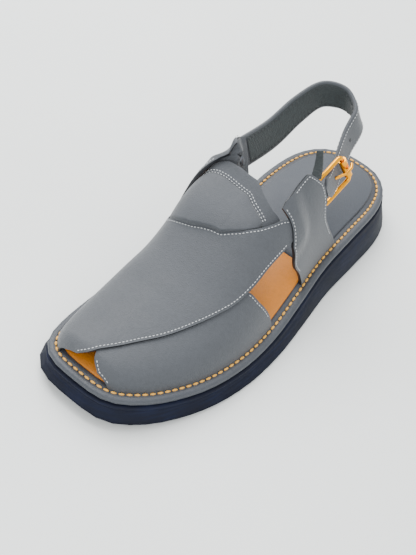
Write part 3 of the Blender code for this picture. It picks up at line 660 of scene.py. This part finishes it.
def plated(name, colour, roughness):
    """Brass-plated zinc casting: bright, with fine polishing marks and a slightly uneven tone."""
    made, tree, shader, where = started(name, roughness, Metallic=1.0)
    cloud = add(tree, "TexNoise", {"Vector": where, "Scale": 160.0, "Detail": 4.0})
    stops = ((0.35, shade(colour, 0.82)), (0.65, shade(colour, 1.08)))
    tree.links.new(ramp(tree, cloud.outputs["Fac"], stops), shader.inputs["Base Color"])
    marks = add(tree, "TexNoise", {"Vector": where, "Scale": 900.0, "Detail": 2.0})
    bump = add(tree, "Bump", {"Strength": 0.18, "Distance": 0.0002, "Height": marks.outputs["Fac"]})
    tree.links.new(bump.outputs["Normal"], shader.inputs["Normal"])
    return made


def finish_material(key):
    """The named finish, made once from the panel's colours."""
    found = bpy.data.materials.get(key)
    if found:
        return found
    colours = bpy.context.scene.chappal_colours
    makers = {
        "buffed grey leather": lambda: leather(key, colours.upper, 0.62, 0.0011, 0.00035, 0.14, 0.25),
        "waxed rim leather": lambda: leather(key, colours.rim, 0.5, 0.0013, 0.00035, 0.16),
        "smooth sock leather": lambda: leather(key, colours.sock, 0.56, 0.0012, 0.0003, 0.12, 0.1),
        "tan vegetable leather": lambda: leather(key, colours.insole, 0.5, 0.0012, 0.0003, 0.1),
        "brushed lining leather": lambda: leather(key, colours.lining, 0.7, 0.0016, 0.0005, 0.3, 0.15),
        "edge paint": lambda: leather(key, colours.edge, 0.45, 0.0015, 0.0002, 0.2),
        "moulded sole rubber": lambda: rubber(key, colours.sole),
        "white upper thread": lambda: thread(key, colours.upper_thread),
        "yellow welt thread": lambda: thread(key, colours.welt_thread),
        "black edge thread": lambda: thread(key, colours.edge),
        "gold plated casting": lambda: plated(key, colours.buckle, 0.3),
        "dark plated rivet": lambda: plated(key, colours.rivet, 0.38),
    }
    return makers[key]()


def finished(name, work, slots, node=None, angle=42.0):
    """Makes the shaped bmesh an object with its finishes, and sets what it rides on and stands for."""
    mesh = bpy.data.meshes.new(name)
    work.to_mesh(mesh)
    work.free()
    for key in slots:
        mesh.materials.append(finish_material(key))
    mesh.shade_smooth()
    mesh.set_sharp_from_angle(angle=math.radians(angle))
    piece = bpy.data.objects.new(name, mesh)
    bpy.context.scene.collection.objects.link(piece)
    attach(piece, "root")
    if node:
        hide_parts(node)
    return piece


def draped_grid(rows, columns, position, facing):
    """A bmesh grid moved to position(u, v), where both run from 0 to 1, that shows its face along facing."""
    work = bmesh.new()
    bmesh.ops.create_grid(work, x_segments=rows - 1, y_segments=columns - 1, size=1.0)
    flat = np.array([vert.co[:2] for vert in work.verts]) * 0.5 + 0.5
    for vert, point in zip(work.verts, position(flat[:, 0], flat[:, 1])):
        vert.co = point
    middle, over, forward = position(np.array([0.5, 0.51, 0.5]), np.array([0.5, 0.5, 0.51]))
    if np.dot(np.cross(over - middle, forward - middle), facing) < 0:
        bmesh.ops.reverse_faces(work, faces=work.faces)
    return work


def middle_facing(read):
    """Outward normal in the middle of a panel."""
    return facing_out(*read(np.array([0.5]), np.array([0.5])))[0]


def panel_reader(table):
    """Functions that give a panel's turn from the share over it, and its station from the share along it."""
    keys = sorted(row[0] for row in table)
    dense = np.linspace(keys[0], keys[-1], 400)
    edges = [last(dense, column(table, k, 0, dense)) for k in (1, 2)]
    length = sum(lengths(edge) for edge in edges)
    length = length / length[-1]

    def read(u, v):
        turn = np.interp(u, length, dense)
        back = column(table, 1, 0, turn)
        front = column(table, 2, 0, turn)
        return turn, back + (front - back) * (1.0 - (1.0 - v) ** TOEWARD)

    return read


def leather_panel(name, table, lift, thickness, size, slots, node, marks=NO_MARKS,
                  raise_edge=level_edge):
    """A leather panel on the last: a grid for its grain side, thickened inwards, with a rounded cut edge."""
    read = panel_reader(table)

    def position(u, v):
        turn, station = read(u, v)
        drawn = lifted(turn, station, lift(turn, station) + thickness - worn(marks, turn, station))
        drawn[:, 2] += raise_edge(turn, station)
        return drawn

    piece = finished(name, draped_grid(*size, position, middle_facing(read)), slots, node)
    shell = piece.modifiers.new("Leather thickness", "SOLIDIFY")
    shell.thickness = thickness
    shell.offset = -1.0
    if len(slots) > 1:
        shell.material_offset_rim = 1
    soft = piece.modifiers.new("Burnished edge", "BEVEL")
    soft.width = 0.0004
    soft.segments = 2
    soft.limit_method = "ANGLE"
    soft.angle_limit = math.radians(55.0)
    return piece


def edge_points(table, lift, thickness, kind, low, high, count=240):
    """Points and normals along a panel's back or front edge between two turns."""
    turn = np.linspace(low, high, count)
    station = column(table, {"back": 1, "front": 2}[kind], 0, turn)
    return lifted(turn, station, lift(turn, station) + thickness), facing_out(turn, station)


def moved_in(points, normals, inset):
    """The line moved across the surface, to the left of its direction seen from outside."""
    tangent = np.gradient(points, axis=0)
    tangent /= np.linalg.norm(tangent, axis=1)[:, None]
    return points + np.cross(normals, tangent) * inset


def stitches(name, lines, pitch, length, radius, finish):
    """A row of stitches, each a short rounded bar of thread that dips into the leather at both ends."""
    work = bmesh.new()
    for points, normals in lines:
        total = lengths(points)[-1]
        count = max(2, int(total / pitch))
        at = along(points, 2 * count + 1)
        up = along(points, 2 * count + 1, normals)
        for k in range(1, 2 * count, 2):
            forward = at[k + 1] - at[k - 1]
            forward /= np.linalg.norm(forward)
            high = up[k] - forward * np.dot(up[k], forward)
            high /= np.linalg.norm(high)
            side = np.cross(high, forward)
            middle = at[k] + high * radius * 0.25
            turned = posed(forward * 0.5 * length, side * radius, high * radius * 0.8, middle)
            bmesh.ops.create_uvsphere(work, u_segments=6, v_segments=5, radius=1.0, matrix=turned)
    return finished(name, work, [finish], angle=180.0)


def smooth_copy(name, node, finish, angle=38.0):
    """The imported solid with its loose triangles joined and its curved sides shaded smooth."""
    work = bmesh.new()
    work.from_mesh(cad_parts[node].data)
    bmesh.ops.remove_doubles(work, verts=work.verts, dist=0.000002)
    return finished(name, work, [finish], node, angle)


def wire(name, points, radius, finish, node, closed=False):
    """A round bar bent along points."""
    line = bpy.data.curves.new(name + " line", "CURVE")
    line.dimensions = "3D"
    line.bevel_depth = radius
    line.bevel_resolution = 5
    line.use_fill_caps = not closed
    spline = line.splines.new("POLY")
    spline.points.add(len(points) - 1)
    for point, value in zip(spline.points, points):
        point.co = (*value, 1.0)
    spline.use_cyclic_u = closed
    drawn = bpy.data.objects.new(name + " line", line)
    bpy.context.scene.collection.objects.link(drawn)
    bpy.context.view_layer.update()
    work = bmesh.new()
    work.from_mesh(drawn.to_mesh())
    drawn.to_mesh_clear()
    bpy.data.objects.remove(drawn)
    bmesh.ops.remove_doubles(work, verts=work.verts, dist=0.000005)
    bmesh.ops.recalc_face_normals(work, faces=work.faces)
    return finished(name, work, [finish], node, 60.0)


def colour_property(name, description, code):
    return FloatVectorProperty(name=name, description=description, subtype="COLOR", size=4, min=0.0, max=1.0,
                               default=linear(code))


def size_property(name, description, value):
    return FloatProperty(name=name, description=description, subtype="DISTANCE", unit="LENGTH", precision=5,
                         min=0.0001, max=0.02, default=value)


class ChappalColours(bpy.types.PropertyGroup):
    """Colours of the leathers, threads, rubber and metal."""

    upper: colour_property("Upper", "Buffed grey leather of the upper", "3e4146")
    rim: colour_property("Rim", "Leather round the footbed's edge", "3d4046")
    sock: colour_property("Heel sock", "Leather under the heel", "3a3e45")
    insole: colour_property("Insole", "Tan leather under the front of the foot", "c4761c")
    lining: colour_property("Lining", "Dark lining of the strap and the tab", "2b3132")
    edge: colour_property("Edge paint", "Painted edges and dark thread", "202226")
    sole: colour_property("Sole", "Moulded rubber", "070d20")
    upper_thread: colour_property("Upper thread", "Fine pale thread of the upper", "cfd1d3")
    welt_thread: colour_property("Welt thread", "Thick yellow thread round the footbed", "e6aa40")
    buckle: colour_property("Buckle", "Gold-coloured plating", "f0a200")
    rivet: colour_property("Rivet", "Dark plated rivet", "6c6f76")


class ChappalSizes(bpy.types.PropertyGroup):
    """Sizes of the threads and the strap's lining."""

    upper_pitch: size_property("Upper stitch pitch", "Distance between the upper's stitches", 0.0023)
    upper_stitch: size_property("Upper stitch length", "Length of one pale stitch", 0.0016)
    upper_radius: size_property("Upper thread radius", "Half the width of the pale thread", 0.00028)
    upper_inset: size_property("Upper stitch inset", "Distance of the stitches from the cut edge", 0.0016)
    welt_pitch: size_property("Welt stitch pitch", "Distance between the stitches round the footbed", 0.0047)
    welt_stitch: size_property("Welt stitch length", "Length of one yellow stitch", 0.0041)
    welt_radius: size_property("Welt thread radius", "Half the width of the yellow thread", 0.00092)
    lining_thickness: size_property("Lining thickness", "Thickness of the strap's lining", 0.0006)


class CHAPPAL_OT_soles(bpy.types.Operator):
    """Moulded outsole, footbed rim, insole and heel sock"""

    bl_idname = "chappal.soles"
    bl_label = "Soles"

    def execute(self, context):
        smooth_copy("moulded_outsole", "outsole", "moulded sole rubber")
        smooth_copy("footbed_rim", "midsole", "waxed rim leather", 50.0)
        smooth_copy("tan_insole", "insole", "tan vegetable leather")
        smooth_copy("grey_heel_sock", "heel_sock", "smooth sock leather")
        return {"FINISHED"}


class CHAPPAL_OT_welt(bpy.types.Operator):
    """Thick yellow stitches in the channel round the footbed"""

    bl_idname = "chappal.welt"
    bl_label = "Welt stitches"

    def execute(self, context):
        sizes = context.scene.chappal_sizes
        ring = edge_ring(-CHANNEL_INSET - 0.5 * CHANNEL_WIDTH, CHANNEL_DEPTH)
        ring = np.vstack([ring, ring[:1]])
        normals = np.repeat([[0.0, 0.0, 1.0]], len(ring), axis=0)
        radius = sizes.welt_radius
        line = [(ring + normals * 0.45 * radius, normals)]
        stitches("welt_stitches", line, sizes.welt_pitch, sizes.welt_stitch, radius,
                 "yellow welt thread")
        return {"FINISHED"}


class CHAPPAL_OT_upper(bpy.types.Operator):
    """The four panels of the upper, with their painted edges"""

    bl_idname = "chappal.upper"
    bl_label = "Upper"

    def execute(self, context):
        slots = ["buffed grey leather", "edge paint"]
        leather_panel("vamp", VAMP, vamp_lift, LEATHER, (130, 110), slots, "upper", VAMP_MARKS)
        leather_panel("side_panel", SIDE_PANEL, no_lift, LEATHER - SIDE_SKIVE, (60, 90), slots, "upper")
        leather_panel("outer_quarter", OUTER_QUARTER, outer_lift, LEATHER, (90, 50), slots, "upper",
                      QUARTER_MARKS)
        leather_panel("inner_quarter", INNER_QUARTER, flap_lift, LEATHER, (110, 70), slots, "upper",
                      raise_edge=flap_rise)
        return {"FINISHED"}


class CHAPPAL_OT_tongue(bpy.types.Operator):
    """The tongue and the padded form sewn on it"""

    bl_idname = "chappal.tongue"
    bl_label = "Tongue"

    def execute(self, context):
        slots = ["buffed grey leather", "edge paint"]
        leather_panel("tongue_leather", TONGUE, tongue_lift, TONGUE_THICKNESS, (80, 60), slots,
                      "tongue")
        read = panel_reader(TONGUE_PAD)

        def position(u, v):
            turn, station = read(u, v)
            reach = column(VAMP, 1, 0, turn) + UNDER_VAMP - column(TONGUE_PAD, 2, 0, turn)
            forward = station + np.maximum(reach, 0.0) * v**1.5
            crown = np.abs(np.sin(np.pi * PAD_CREST * v)) ** PAD_FULLNESS
            swell = np.sqrt(np.clip(4.0 * u * (1.0 - u), 0.0, 1.0)) * crown
            room = 1.0 - smooth(-0.004, 0.006, forward - column(VAMP, 1, 0, turn))
            padding = (0.3 * PAD_EDGE + PAD_RISE * swell) * room
            return lifted(turn, forward, GAP - TONGUE_DROP + 0.0003 + padding)

        crown_grid = draped_grid(80, 60, position, middle_facing(read))
        pad = finished("tongue_cushion", crown_grid, slots, "tongue_pad")
        shell = pad.modifiers.new("Pad cover", "SOLIDIFY")
        shell.thickness = PAD_COVER
        shell.offset = -1.0
        shell.material_offset_rim = 1
        return {"FINISHED"}


class CHAPPAL_OT_upper_stitches(bpy.types.Operator):
    """Pale stitches along the panels' edges and round the tongue's pad"""

    bl_idname = "chappal.upper_stitches"
    bl_label = "Upper stitches"

    def execute(self, context):
        sizes = context.scene.chappal_sizes
        inset = sizes.upper_inset

        def row(name, runs):
            lines = []
            for table, lift, thickness, kind, low, high, side in runs:
                points, normals = edge_points(table, lift, thickness, kind, low, high)
                lines.append((moved_in(points, normals, side), normals))
            stitches(name, lines, sizes.upper_pitch, sizes.upper_stitch, sizes.upper_radius,
                     "white upper thread")

        row("vamp_stitches", (
            (VAMP, vamp_lift, LEATHER, "front", 0.205, 0.560, -inset),
            (VAMP, vamp_lift, LEATHER, "back", 0.205, 0.86, inset),
        ))
        row("side_panel_stitches", (
            (SIDE_PANEL, no_lift, LEATHER - SIDE_SKIVE, "back", 0.06, 0.245, inset),
            (SIDE_PANEL, no_lift, LEATHER - SIDE_SKIVE, "front", 0.10, 0.42, -inset),
        ))
        row("outer_quarter_stitches", (
            (OUTER_QUARTER, outer_lift, LEATHER, "front", 0.05, 0.315, -inset),
            (OUTER_QUARTER, outer_lift, LEATHER, "back", 0.03, 0.31, inset),
        ))
        row("inner_quarter_stitches", (
            (INNER_QUARTER, flap_lift, LEATHER, "back", 0.61, 0.97, inset),
            (INNER_QUARTER, flap_lift, LEATHER, "front", 0.61, 0.74, -inset),
        ))
        pad_runs = []
        for reach in (0.0009, 0.0026):
            pad_runs.append((TONGUE_PAD, tongue_lift, TONGUE_THICKNESS, "back", 0.372, 0.76, -reach))
        row("pad_stitches", pad_runs)
        return {"FINISHED"}


class CHAPPAL_OT_strap(bpy.types.Operator):
    """Heel strap with its rolled edge, dark lining, edge stitches, and dark discs of painted shade for its
    holes
    """

    bl_idname = "chappal.strap"
    bl_label = "Heel strap"

    def execute(self, context):
        sizes = context.scene.chappal_sizes
        centre, tangent, across, outward, width = strap_line(16)
        count = len(centre)
        share = np.linspace(0.0, 1.0, count)
        thickness = STRAP_THICKNESS + (STRAP_TIP_THICKNESS - STRAP_THICKNESS) * smooth(*THINNING, share)
        narrow = 1.0 - POINT_NARROWING * smooth(*POINTING, share)
        angles = 2.0 * np.pi * np.arange(BAND_SIDES) / BAND_SIDES

        def rounded(angle, power):
            return np.sign(np.cos(angle)) * np.abs(np.cos(angle)) ** power

        work = bmesh.new()
        order = work.verts.layers.int.new("order")
        ring = bmesh.ops.create_circle(work, cap_ends=True, segments=BAND_SIDES, radius=1.0)["verts"]
        for k, vert in enumerate(ring):
            vert[order] = k
        end = work.faces[:]
        for i in range(count):
            reach = width[i] * narrow[i] * 0.5
            a = rounded(angles, 0.35) * reach
            b = rounded(angles - 0.5 * np.pi, 0.55) * 0.5 * thickness[i]
            shape = centre[i] + across[i] * a[:, None] + outward[i] * b[:, None]
            if i:
                made = bmesh.ops.extrude_face_region(work, geom=end)
                end = [item for item in made["geom"] if isinstance(item, bmesh.types.BMFace)]
                verts = [item for item in made["geom"] if isinstance(item, bmesh.types.BMVert)]
            else:
                verts = ring
            for vert in verts:
                vert.co = shape[vert[order]]
        bmesh.ops.recalc_face_normals(work, faces=work.faces)
        finished("heel_sling", work, ["buffed grey leather"], "heel_strap", 60.0)

        start, stop = (int(part * count) for part in LINING_SPAN)
        inner = slice(start, stop)
        face = centre - outward * (0.5 * thickness)[:, None]

        def position(u, v):
            index = start + u * (stop - 1 - start)
            base = np.stack([np.interp(index, range(count), face[:, k]) for k in range(3)], axis=1)
            side = np.stack([np.interp(index, range(count), across[:, k]) for k in range(3)], axis=1)
            out = np.stack([np.interp(index, range(count), outward[:, k]) for k in range(3)], axis=1)
            reach = np.interp(index, range(count), width)
            crown = sizes.lining_thickness * (1.0 - np.abs(2.0 * v - 1.0) ** 6)
            return base + side * ((v - 0.5) * LINING_SHARE * reach)[:, None] - out * crown[:, None]

        work = draped_grid(140, 14, position, -outward[count // 2])
        finished("strap_lining", work, ["brushed lining leather"])

        lines = []
        for side in (-LINING_STITCH_PLACE, LINING_STITCH_PLACE):
            path = face[inner] + across[inner] * (side * width[inner])[:, None]
            lines.append((path - outward[inner] * 0.9 * sizes.lining_thickness, -outward[inner]))
        stitches("lining_stitches", lines, 0.0034, 0.0025, 0.00035, "black edge thread")
        outer_face = centre + outward * (0.5 * thickness)[:, None]
        late = slice(*(int(part * count) for part in BAND_STITCH_SPAN))
        lines = []
        for side in (-BAND_STITCH_PLACE, BAND_STITCH_PLACE):
            path = outer_face[late] + across[late] * (side * width[late])[:, None]
            lines.append((path, outward[late]))
        stitches("strap_stitches", lines, sizes.upper_pitch, sizes.upper_stitch, sizes.upper_radius * 0.85,
                 "white upper thread")

        # Painted shade: thin discs of dark edge paint on the strap's outer face stand for the shadowed insides
        # of the holes
        work = bmesh.new()
        for spot in HOLE_PLACES:
            k = int(spot * (count - 1))
            on_face = posed(tangent[k], across[k], outward[k], outer_face[k])
            bmesh.ops.create_cone(work, cap_ends=True, segments=20, radius1=HOLE_RADIUS, radius2=HOLE_RADIUS,
                                  depth=SHADE_DISC_DEPTH, matrix=on_face)
        finished("painted_hole_shade", work, ["edge paint"])
        return {"FINISHED"}


class CHAPPAL_OT_buckle(bpy.types.Operator):
    """Gold roller buckle, its leather tab and the rivet"""

    bl_idname = "chappal.buckle"
    bl_label = "Buckle and rivet"

    def execute(self, context):
        centre, _, across, _, width = strap_frame(ROLLER_PLACE)
        hinge, _, _, hinge_out, _ = strap_frame(HINGE_PLACE)
        ahead = hinge - centre
        ahead = ahead - across * np.dot(ahead, across)
        ahead /= np.linalg.norm(ahead)
        outward = np.cross(across, ahead)
        if np.dot(outward, hinge_out) < 0:
            outward = -outward
        half_strap = 0.5 * STRAP_TIP_THICKNESS
        roller_radius = BUCKLE_WIRE + GAP + ROLLER_WALL
        roller = centre + outward * (half_strap + BUCKLE_CLEARANCE + roller_radius)
        below_strap = half_strap + BUCKLE_CLEARANCE + BUCKLE_WIRE + GAP + TAB_THICKNESS
        bar = centre + ahead * BUCKLE_LENGTH - outward * below_strap
        reach = 0.5 * float(width[0]) + BUCKLE_CLEARANCE + BUCKLE_WIRE
        bend = 2.0 * BUCKLE_WIRE
        side = across * reach
        corners = [roller - side, roller + side, bar + side, bar - side]
        line = []
        for k, corner in enumerate(corners):
            before = corners[k - 1] - corner
            after = corners[(k + 1) % 4] - corner
            before *= bend / np.linalg.norm(before)
            after *= bend / np.linalg.norm(after)
            for t in np.linspace(0.0, 1.0, 9):
                line.append(corner + before * (1.0 - t) ** 2 + after * t**2)
        gold = "gold plated casting"
        wire("cast_frame", line, BUCKLE_WIRE, gold, "buckle_frame", closed=True)
        lap = BUCKLE_WIRE + GAP + PRONG_WIRE
        hook = [
            bar + ahead * lap * math.cos(angle) + outward * lap * math.sin(angle)
            for angle in np.radians(np.arange(-180.0, 95.0, 15.0))
        ]
        below = centre + ahead * 0.5 * BUCKLE_LENGTH - outward * (half_strap + GAP + PRONG_WIRE)
        above = roller + ahead * PRONG_AHEAD * roller_radius + outward * roller_radius
        rest = roller + outward * PRONG_OVER * (roller_radius + GAP + PRONG_WIRE)
        tip = rest - ahead * (PRONG_TIP - roller_radius) - outward * PRONG_DROP * roller_radius
        wire("cast_prong", hook + [below, above, rest, tip], PRONG_WIRE, gold, "buckle_prong")
        smooth_copy("turned_roller", "buckle_roller", gold)

        axes = np.array([ahead, across, outward])
        inner_end = bar + side
        foot, tip_of_tab = (inner_end + np.array(place_on) @ axes for place_on in (TAB_END_FOOT, TAB_END_TIP))
        rising = tip_of_tab - foot
        thin = np.cross(rising, outward)
        thin /= np.linalg.norm(thin)
        work = bmesh.new()
        bmesh.ops.create_cube(work, size=1.0)
        bmesh.ops.subdivide_edges(work, edges=work.edges[:], cuts=3, use_grid_fill=True)
        for vert in work.verts:
            wide, flat, high = vert.co
            narrowing = 1.0 - TAB_END_POINT * float(smooth(0.0, 1.0, high + 0.5))
            lean = 0.0012 * math.sin(math.pi * (high + 0.5))
            vert.co = (foot + rising * (high + 0.5) + outward * wide * TAB_END_WIDTH * narrowing
                       + thin * (flat * TAB_THICKNESS + lean))
        bmesh.ops.recalc_face_normals(work, faces=work.faces)
        loose = finished("loose_tab_end", work, ["brushed lining leather"])
        rounded_edge = loose.modifiers.new("Worn edge", "BEVEL")
        rounded_edge.width = 0.0005
        rounded_edge.segments = 2
        rounded_edge.limit_method = "ANGLE"
        smooth_copy("folded_tab", "buckle_tab", "brushed lining leather")
        smooth_copy("domed_rivet", "rivet", "dark plated rivet", 60.0)
        return {"FINISHED"}


class CHAPPAL_OT_stage(bpy.types.Operator):
    """Pale floor, soft light and the photograph's camera"""

    bl_idname = "chappal.stage"
    bl_label = "Stage"

    def execute(self, context):
        scene = context.scene
        made, tree, shader, where = started("pale paper floor", 0.75)
        cloud = add(tree, "TexNoise", {"Vector": where, "Scale": 2.2, "Detail": 3.0})
        stops = ((0.3, linear("e4e6e4")), (0.7, linear("eceeec")))
        tree.links.new(ramp(tree, cloud.outputs["Fac"], stops), shader.inputs["Base Color"])
        work = bmesh.new()
        bmesh.ops.create_grid(work, x_segments=4, y_segments=4, size=6.0)
        mesh = bpy.data.meshes.new("floor")
        work.to_mesh(mesh)
        work.free()
        mesh.materials.append(made)
        floor = bpy.data.objects.new("floor", mesh)
        scene.collection.objects.link(floor)

        world = bpy.data.worlds.new("soft room")
        world.use_nodes = True
        sky = world.node_tree.nodes["Background"]
        sky.inputs["Color"].default_value = linear("f2f5f6")
        sky.inputs["Strength"].default_value = 1.5
        scene.world = world

        lights = (
            # name, across, along, height, size, power
            ("window", -0.9, 0.5, 1.5, 1.4, 60.0),
            ("fill", 0.9, -1.2, 1.2, 1.6, 16.0),
        )
        for name, x, y, z, size, power in lights:
            lamp = bpy.data.lights.new(name, "AREA")
            lamp.energy = power
            lamp.size = size
            lamp.color = linear("fbfcfd")[:3]
            lit = bpy.data.objects.new(name, lamp)
            toward = -np.array([x, y, z]) / np.linalg.norm([x, y, z])
            side = np.cross(toward, (0.0, 0.0, 1.0))
            side /= np.linalg.norm(side)
            lit.matrix_world = posed(side, np.cross(side, toward), -toward, (x, y, z))
            scene.collection.objects.link(lit)

        turn, rise, roll = (math.radians(value) for value in (CAMERA_TURN, CAMERA_RISE, CAMERA_ROLL))
        back = np.array([math.sin(turn) * math.cos(rise), -math.cos(turn) * math.cos(rise), math.sin(rise)])
        level = np.array([math.cos(turn), math.sin(turn), 0.0])
        upright = np.cross(back, level)
        rolled = level * math.cos(roll) + upright * math.sin(roll)
        top = upright * math.cos(roll) - level * math.sin(roll)
        eye = back * CAMERA_DISTANCE + np.array([-MIDDLE_X, MIDDLE_S - CAMERA_AIM, 0.0])
        view = bpy.data.cameras.new("photograph")
        view.sensor_width = SENSOR
        view.lens = FOCAL_PIXELS / FRAME_HEIGHT * SENSOR
        view.shift_x = -(CENTRE_ACROSS - 0.5 * FRAME_WIDTH) / FRAME_HEIGHT
        view.shift_y = (CENTRE_DOWN - 0.5 * FRAME_HEIGHT) / FRAME_HEIGHT
        view.clip_start = 0.01
        camera = bpy.data.objects.new("photograph", view)
        camera.matrix_world = posed(rolled, top, back, eye)
        scene.collection.objects.link(camera)
        scene.camera = camera
        return {"FINISHED"}


OPERATORS = (
    CHAPPAL_OT_stage,
    CHAPPAL_OT_soles,
    CHAPPAL_OT_welt,
    CHAPPAL_OT_upper,
    CHAPPAL_OT_tongue,
    CHAPPAL_OT_upper_stitches,
    CHAPPAL_OT_strap,
    CHAPPAL_OT_buckle,
)


class CHAPPAL_PT_panel(bpy.types.Panel):
    """Colours, sizes and steps of the chappal"""

    bl_idname = "CHAPPAL_PT_panel"
    bl_label = "Chappal"
    bl_space_type = "VIEW_3D"
    bl_region_type = "UI"
    bl_category = "Chappal"

    def draw(self, context):
        for group in (context.scene.chappal_colours, context.scene.chappal_sizes):
            for key in group.bl_rna.properties.keys():
                if key not in ("rna_type", "name"):
                    self.layout.prop(group, key)
        for operator in OPERATORS:
            self.layout.operator(operator.bl_idname)


CLASSES = (ChappalColours, ChappalSizes, *OPERATORS, CHAPPAL_PT_panel)


def register():
    for made in CLASSES:
        bpy.utils.register_class(made)
    bpy.types.Scene.chappal_colours = PointerProperty(type=ChappalColours)
    bpy.types.Scene.chappal_sizes = PointerProperty(type=ChappalSizes)


def unregister():
    del bpy.types.Scene.chappal_sizes
    del bpy.types.Scene.chappal_colours
    for made in reversed(CLASSES):
        bpy.utils.unregister_class(made)


def main():
    register()
    for operator in OPERATORS:
        group, name = operator.bl_idname.split(".")
        getattr(getattr(bpy.ops, group), name)()


if __name__ == "__main__":
    main()
